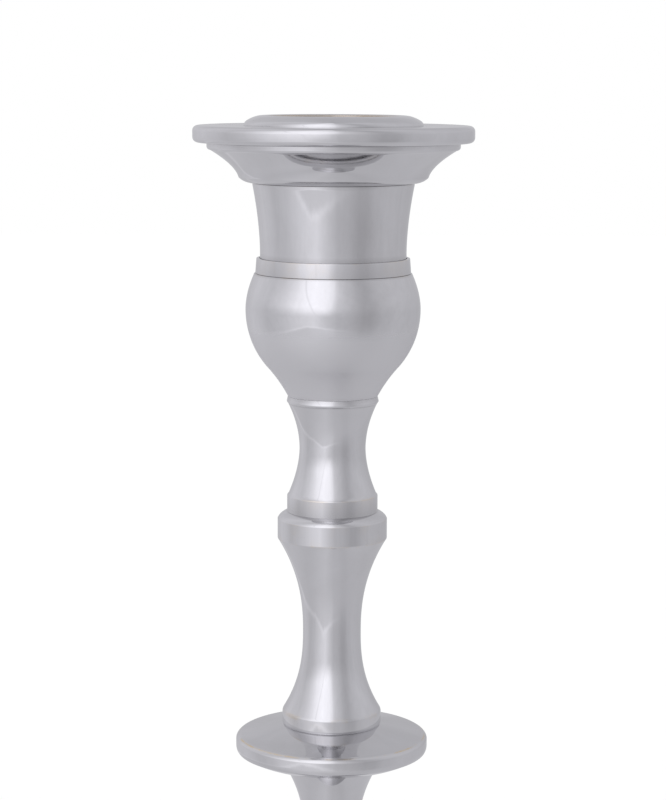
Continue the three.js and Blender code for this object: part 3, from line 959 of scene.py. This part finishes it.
# Tie rod with its washers and nuts
rod = {
    "steps": 48,
    "threadPitch": 0.5,
    "threadDepth": 0.26,
    "threadTurns": 22,
    "ridgeShare": 0.46,     # half width of the ridge, as a share of the pitch
    "ridgeSink": 0.06,
    "ridgeSteps": 32,
    "chamfer": 0.3,
    "washerEase": 0.14,
    "nutChamfer": 0.45,
    "nutFace": 0.97,        # radius of the flat end, as a share of the way out to a side
    "boreChamfer": 0.22,
    "nutBore": 1.6,
    "nutSteps": 72,
    "nutSmooth": 20,
    "barOver": 0.4,         # the bar is this much longer than the nut cut from it
    "blankOver": 0.3,
}

metals = {                  # colour, tarnish, range of roughness and scale of the tool marks
    "zincSteel": ((0.52, 0.52, 0.53), (0.37, 0.36, 0.35), (0.26, 0.46), 1400.0),
    "washerSteel": ((0.55, 0.55, 0.56), (0.40, 0.39, 0.38), (0.22, 0.40), 2200.0),
    "nutBrass": ((0.66, 0.49, 0.22), (0.44, 0.31, 0.14), (0.20, 0.38), 1800.0),
}
plainLook = {
    "tarnishScale": 420.0,
    "tarnish": (0.38, 0.70),    # part of the noise that becomes tarnish
    "toolMarks": 0.6,
    "toolMarkDepth": 8e-6,
    "roughFrom": (0.3, 0.7),    # this part of the tool marks gives the range of roughness
}


def plainMetal(name):
    colour, tarnish, roughness, streak = metals[name]
    finish, tree, shader = startFinish(name)
    coords = objectCoords(tree)
    ring = ringCoords(tree, coords)[0]
    lines = noiseOn(tree, ring, streak, 4.0, 0.6)
    cloud = noiseOn(tree, coords, plainLook["tarnishScale"], 5.0, 0.6)
    cloud = rangeNode(tree, cloud, *plainLook["tarnish"], 0.0, 1.0)
    feed(tree, shader, {
        "Base Color": mixColour(tree, cloud, colour, tarnish),
        "Metallic": 1.0,
        "Normal": bumpNode(tree, lines, plainLook["toolMarks"], plainLook["toolMarkDepth"]),
        "Roughness": rangeNode(tree, lines, *plainLook["roughFrom"], *roughness),
    })
    return finish


# One thread: a small three-cornered ridge wound up the rod by a Screw modifier, its two ends filled
def windThread(name, start, core, crest):
    half = rod["threadPitch"] * rod["ridgeShare"]
    root = core - rod["ridgeSink"]
    bpy.ops.object.select_all(action="DESELECT")
    bpy.ops.mesh.primitive_circle_add(vertices=3, radius=half * mm, location=(0, 0, 0))
    ridge = bpy.context.object
    ridge.name = ridge.data.name = name
    corners = ((root, start - half), (root, start + half), (crest, start))
    for vertex, (r, z) in zip(ridge.data.vertices, corners):
        vertex.co = (r * mm, 0, z * mm)
    screw = ridge.modifiers.new("wind", "SCREW")
    screw.axis = "Z"
    screw.angle = 2 * math.pi
    screw.steps = screw.render_steps = rod["ridgeSteps"]
    screw.screw_offset = rod["threadPitch"] * mm
    screw.iterations = rod["threadTurns"]
    screw.use_smooth_shade = False
    bpy.ops.object.modifier_apply(modifier=screw.name)
    bpy.ops.object.mode_set(mode="EDIT")
    bpy.ops.mesh.select_mode(type="EDGE")
    bpy.ops.mesh.select_all(action="SELECT")
    bpy.ops.mesh.remove_doubles(threshold=mergeWithin)
    bpy.ops.mesh.select_all(action="DESELECT")
    bpy.ops.mesh.select_non_manifold()
    bpy.ops.mesh.edge_face_add()
    bpy.ops.mesh.select_all(action="SELECT")
    bpy.ops.mesh.normals_make_consistent(inside=False)
    bpy.ops.object.mode_set(mode="OBJECT")
    return ridge


def makeTieRod():
    low, high, radius = lowOf("tie_rod"), highOf("tie_rod"), reachOf("tie_rod")
    core = radius - rod["threadDepth"]
    wound = rod["threadPitch"] * (rod["threadTurns"] + 1)
    outline = [
        (0, low),
        (core - rod["chamfer"], low),
        (core, low + rod["chamfer"]),
        (core, low + wound),
        (radius, low + wound + rod["threadDepth"]),
        (radius, high - wound - rod["threadDepth"]),
        (core, high - wound),
        (core, high - rod["chamfer"]),
        (core - rod["chamfer"], high),
        (0, high),
    ]
    piece = turnPiece("tieRod", outline, steps=rod["steps"])
    starts = (low + rod["chamfer"] + rod["threadPitch"] / 2, high - wound)
    threads = [windThread("rodThread", start, core, radius) for start in starts]
    bpy.ops.object.select_all(action="DESELECT")
    for thread in threads:
        thread.select_set(True)
    piece.select_set(True)
    bpy.context.view_layer.objects.active = piece
    bpy.ops.object.join()
    fitPiece(piece, "tie_rod", "stand", plainMetal("zincSteel"))


def makeWasher(name, node, finish):
    low, high, radius = lowOf(node), highOf(node), reachOf(node)
    ease = rod["washerEase"]
    outline = [(rodHole, low, ease), (radius, low, ease), (radius, high, ease), (rodHole, high, ease)]
    piece = turnPiece(name, outline, steps=rod["nutSteps"])
    fitPiece(piece, node, "stand", finish)


# A six-sided bar, cut by a turned blank that has the bore and the sloped corners of a nut
def makeNut(name, node, finish):
    low, high, corner = lowOf(node), highOf(node), reachOf(node)
    face = corner * math.cos(math.pi / 6) * rod["nutFace"]
    slope, bore, lead = rod["nutChamfer"], rod["nutBore"], rod["boreChamfer"]
    beyond = corner + rod["blankOver"]
    outline = [
        (bore + lead, low),
        (face, low),
        (beyond, low + slope),
        (beyond, high - slope),
        (face, high),
        (bore + lead, high),
        (bore, high - lead),
        (bore, low + lead),
    ]
    blank = turnPiece(name + "Blank", outline, steps=rod["nutSteps"])
    bpy.ops.object.select_all(action="DESELECT")
    middleZ = (low + high) / 2 * mm
    bpy.ops.mesh.primitive_cylinder_add(
        vertices=6, radius=corner * mm, depth=(high - low + rod["barOver"]) * mm,
        location=(0, 0, middleZ), rotation=(0, 0, math.radians(30)),
    )
    piece = bpy.context.object
    piece.name = piece.data.name = name
    bpy.ops.object.transform_apply(location=True, rotation=True, scale=True)
    cut = piece.modifiers.new("cut", "BOOLEAN")
    cut.operation = "INTERSECT"
    cut.object = blank
    bpy.ops.object.modifier_apply(modifier=cut.name)
    bpy.data.objects.remove(blank)
    bpy.ops.object.shade_smooth_by_angle(angle=math.radians(rod["nutSmooth"]))
    fitPiece(piece, node, "stand", finish)


nickelSocket = nickelFinish("nickelSocket")
nickelStem = nickelFinish("nickelStem")
makeCandleCup()
makeNozzle()
makeSocketNeck()
makeSocketBand()
makeSocketBulb()
makeUpperSpool()
makeMiddleSpool()
makeDripPan()
makeLowerSpool()
makeKnop()
makeFoot()
print("turned pieces done")
makeFeltPad()
makeTieRod()
washerSteel = plainMetal("washerSteel")
makeWasher("socketWasher", "socket_washer", washerSteel)
makeWasher("footWasher", "foot_washer", washerSteel)
nutBrass = plainMetal("nutBrass")
makeNut("socketNut", "socket_nut", nutBrass)
makeNut("footNut", "foot_nut", nutBrass)
print("rod, washers, nuts and felt done")


# Studio: a white room, a pale table, and a wide dome of cloth that only the metal mirrors
dome = {
    "radius": 1500,
    "centre": 170,          # height of its middle over the table
    "tint": (0.990, 0.984, 1.030),
    "gain": 0.742,          # the cloth is a little grey
    "levels": {             # brightness by direction in degrees; 0 is towards the camera, minus is its left
        -180: 0.72, -150: 0.90, -130: 1.04, -112: 1.00, -95: 0.90, -75: 0.97, -50: 1.22, -26: 1.40,
        -10: 1.14, 5: 0.90, 25: 0.81, 40: 0.69, 50: 0.69, 65: 0.82, 90: 0.90, 125: 0.85,
        155: 0.76, 180: 0.72,
    },
    "panel": {              # share of the bright front panel by direction
        -180: 0.0, -110: 0.0, -84: 0.17, -64: 0.41, -56: 0.52, -46: 0.78, -24: 0.90, -8: 1.12, 0: 0.95,
        4: 0.62, 9: 0.34, 18: 0.18, 32: 0.04, 45: 0.0, 180: 0.0,
    },
    "panelGain": 0.58,
    "panelRise": (-5, 13),  # the panel comes in between these angles over the horizon
    "panelTop": (45, 80),   # and loses most of its light between these
    "panelFade": 0.7,
    "panelLean": (10, 30, -4, 1),   # from the first angle to the second it shifts sideways, in degrees
    "upperGain": 0.08,
    "wave": 4.0,            # waviness of the hems, in degrees
    "waveScale": 0.07,
    "seam": {"direction": -31, "at": 15, "lean": 0.55, "width": 1.5, "depth": 0.24},
    "floorLevel": (0.68, 0.25),     # own level and share of the wall's level below the lower hem
    "floorGlow": (0.17, 16),        # the floor brightens by this much within so many degrees of the hem
    "hem": {
        "angle": -22.5, "rise": 6, "riseAt": -31, "spread": 28,
        "soft": (2.6, 13.0), "softTurn": (-14, 34),     # it grows softer between these directions
        "lineWidth": 1.3, "lineGain": 0.14,
    },
    "wrinkle": 0.06,
    "wrinkleScale": 0.12,
}


# Brightness that follows the direction round the dome, as stops on a ramp
def ringLevels(tree, share, levels):
    top = max(levels.values())
    ramp = addNode(tree, "ValToRGB", {0: share})
    stops = ramp.color_ramp.elements
    for i, (degrees, level) in enumerate(levels.items()):
        place = (degrees + 180) / 360
        stop = stops[i] if i < 2 else stops.new(place)
        stop.position = place
        stop.color = (level / top, level / top, level / top, 1)
    grey = addNode(tree, "RGBToBW", {0: ramp.outputs[0]})
    return scaled(tree, grey.outputs[0], top)


def bellNode(tree, value, width):
    away = mathNode(tree, "DIVIDE", value, width)
    squared = mathNode(tree, "MULTIPLY", away, away)
    return mathNode(tree, "EXPONENT", scaled(tree, squared, -1.0))


def domeCloth():
    cloth = bpy.data.materials.new("domeCloth")
    cloth.use_nodes = True
    tree = cloth.node_tree
    tree.nodes.clear()

    def add(first, second):
        return mathNode(tree, "ADD", first, second)

    def less(first, second):
        return mathNode(tree, "SUBTRACT", first, second)

    def times(first, second):
        return mathNode(tree, "MULTIPLY", first, second)

    # Direction round the dome and angle over the horizon, in degrees
    coords = objectCoords(tree)
    parts = addNode(tree, "SeparateXYZ", {0: coords}).outputs
    around = mathNode(tree, "ARCTAN2", parts[0], times(parts[1], -1.0))
    share = rangeNode(tree, around, -math.pi, math.pi, 0.0, 1.0)
    radius, height = ringCoords(tree, coords)[1:]
    over = less(height, dome["centre"] * mm)
    angle = times(mathNode(tree, "ARCTAN2", over, radius), math.degrees(1))
    turn = times(around, math.degrees(1))
    flat = addNode(tree, "CombineXYZ", {0: turn, 1: angle}).outputs[0]
    wave = less(noiseOn(tree, flat, dome["waveScale"], 2.0), 0.5)
    wavy = add(angle, times(wave, dome["wave"]))

    # Bright front panel with a leaning seam
    lit = easeNode(tree, wavy, *dome["panelRise"])
    fade = less(1.0, times(easeNode(tree, angle, *dome["panelTop"]), dome["panelFade"]))
    aside = rangeNode(tree, angle, *dome["panelLean"])
    panelShare = rangeNode(tree, less(turn, aside), -180.0, 180.0, 0.0, 1.0)
    panel = times(ringLevels(tree, panelShare, dome["panel"]), dome["panelGain"])
    seam = dome["seam"]
    lean = times(less(wavy, seam["at"]), seam["lean"])
    off = add(less(turn, seam["direction"]), lean)
    dark = times(bellNode(tree, off, seam["width"]), seam["depth"])
    panel = times(less(panel, dark), fade)
    panel = times(add(panel, dome["upperGain"]), lit)

    # Wall, lower hem and floor
    wall = ringLevels(tree, share, dome["levels"])
    front = ringLevels(tree, share, dome["panel"])
    low, gain = dome["floorLevel"]
    floor = add(times(wall, gain), low)
    hem = dome["hem"]
    rise = bellNode(tree, less(turn, hem["riseAt"]), hem["spread"])
    above = less(wavy, add(times(rise, hem["rise"]), hem["angle"]))
    soft = rangeNode(tree, turn, *hem["softTurn"], *hem["soft"])
    onWall = easeNode(tree, mathNode(tree, "DIVIDE", above, soft), -1.0, 1.0)
    glowGain, glowReach = dome["floorGlow"]
    glow = times(bellNode(tree, above, glowReach), glowGain)
    floor = add(floor, times(glow, front))
    level = add(floor, times(onWall, less(wall, floor)))
    line = times(bellNode(tree, above, hem["lineWidth"]), hem["lineGain"])
    line = times(line, rangeNode(tree, turn, *hem["softTurn"], 1.0, 0.0))
    level = add(add(level, times(line, wall)), panel)

    folds = less(noiseOn(tree, flat, dome["wrinkleScale"], 3.0, 0.55, 0.8), 0.5)
    folds = times(times(folds, 2 * dome["wrinkle"]), onWall)
    level = times(level, add(folds, 1.0))
    level = times(level, dome["gain"])
    shine = addNode(tree, "Emission", {"Color": (*dome["tint"], 1), "Strength": level})
    addNode(tree, "OutputMaterial", {"Surface": shine.outputs[0]})
    return cloth


def makeDome():
    cloth = turnPiece("clothDome", arcLine(0, dome["centre"], dome["radius"], -90, 90, 48), closed=False)
    cloth.data.materials.append(domeCloth())
    cloth.visible_camera = False
    cloth.visible_diffuse = False
    cloth.visible_shadow = False


table = {
    "size": 6.0,
    "height": -0.0002,      # a hair below the felt
    "colour": (0.82, 0.82, 0.82),
    "fill": 0.19,           # glow that only the camera sees
}


def makeTable():
    bpy.ops.object.select_all(action="DESELECT")
    bpy.ops.mesh.primitive_plane_add(size=table["size"], location=(0, 0, table["height"]))
    top = bpy.context.object
    top.name = "tableTop"
    cover = bpy.data.materials.new("tableCover")
    cover.use_nodes = True
    tree = cover.node_tree
    tree.nodes.clear()
    matt = addNode(tree, "BsdfDiffuse", {"Color": (*table["colour"], 1)})
    seen = addNode(tree, "LightPath").outputs["Is Camera Ray"]
    fill = addNode(tree, "Emission", {"Strength": scaled(tree, seen, table["fill"])})
    both = addNode(tree, "AddShader", {0: matt.outputs[0], 1: fill.outputs[0]})
    addNode(tree, "OutputMaterial", {"Surface": both.outputs[0]})
    top.data.materials.append(cover)
    top.visible_glossy = False      # the metal mirrors the dome's lower half instead


def lightRoom():
    room = bpy.data.worlds.new("whiteRoom")
    room.use_nodes = True
    tree = room.node_tree
    feed(tree, tree.nodes["Background"], {"Color": (1, 1, 1, 1), "Strength": 1.0})
    bpy.context.scene.world = room
    bpy.context.scene.view_settings.view_transform = "Standard"


camera = {
    "place": (-0.00017, -0.4169, 0.23765),
    "tilt": (math.radians(82), -0.0037, 0),
    "lens": 105.4,
    "sensor": 36,
    "near": 0.01,
}


def placeCamera():
    bpy.ops.object.camera_add(location=camera["place"], rotation=camera["tilt"])
    eye = bpy.context.object
    eye.data.lens = camera["lens"]
    eye.data.sensor_width = camera["sensor"]
    eye.data.clip_start = camera["near"]
    bpy.context.scene.camera = eye


makeDome()
makeTable()
lightRoom()
placeCamera()
print("studio done")
